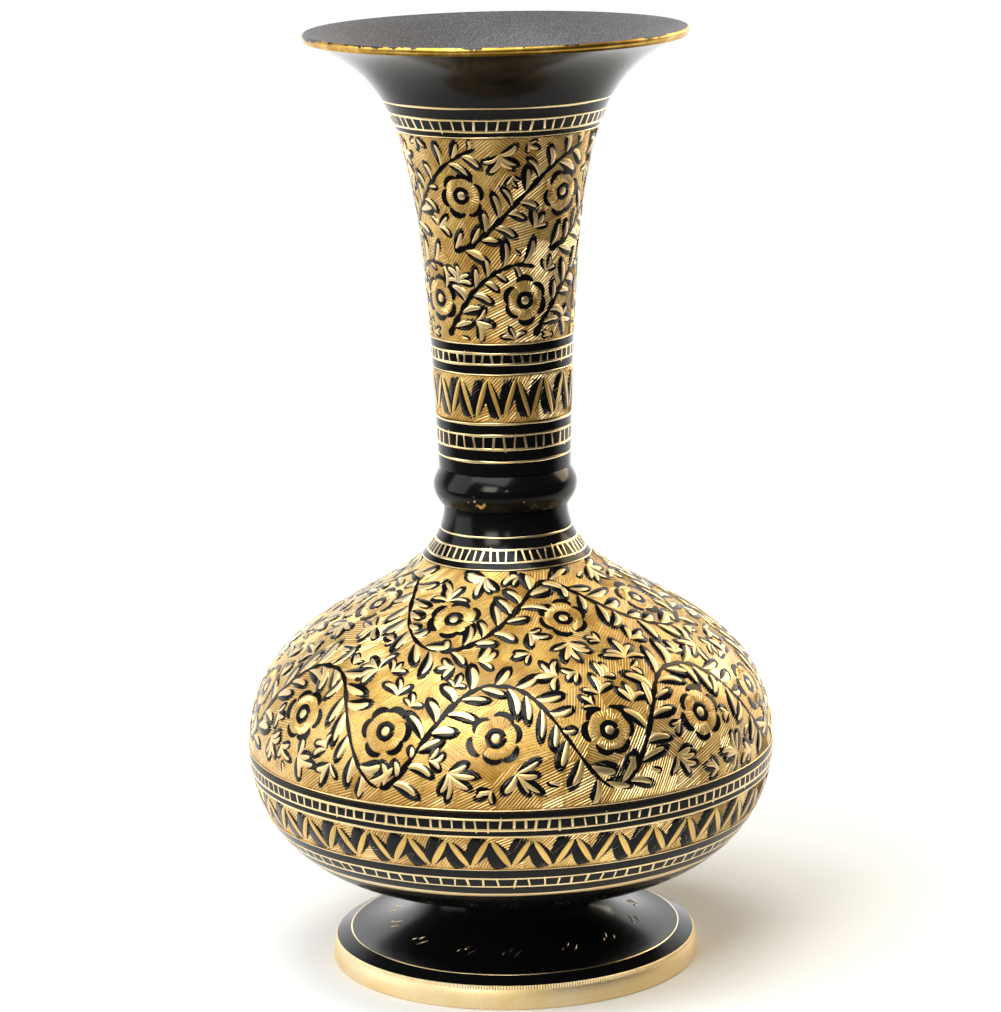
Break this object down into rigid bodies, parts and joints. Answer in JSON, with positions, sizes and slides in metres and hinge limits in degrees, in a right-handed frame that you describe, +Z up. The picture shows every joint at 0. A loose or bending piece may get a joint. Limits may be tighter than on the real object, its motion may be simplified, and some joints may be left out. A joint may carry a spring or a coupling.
{
  "type": "flower vase",
  "caption": "Footed brass flower vase: flared mouth, slender neck, collar ring, squat belly, hollow foot; engraved flowers and black lacquer bands.",
  "frame": {"origin": "on the vase's axis, in the plane that its foot stands on", "axes": "+Z up along the axis of turning; +X and +Y are free, because the vase is round"},
  "size_m": [0.143, 0.143, 0.254],
  "materials": {
    "engraved_brass": "hatched and bright-cut brass between black lacquer bands",
    "black_lacquer": "glossy black lacquer over brass",
    "lacquered_foot": "glossy black lacquer over brass with a bare satin brass rim",
    "plain_brass": "satin turned brass"
  },
  "bodies": {
    "root": {"neck": "engraved_brass", "collar_ring": "black_lacquer", "shoulder": "engraved_brass", "bowl": "engraved_brass", "foot": "lacquered_foot", "foot_stud": "plain_brass", "foot_washer": "plain_brass", "foot_nut": "plain_brass"}
  },
  "joints": []
}
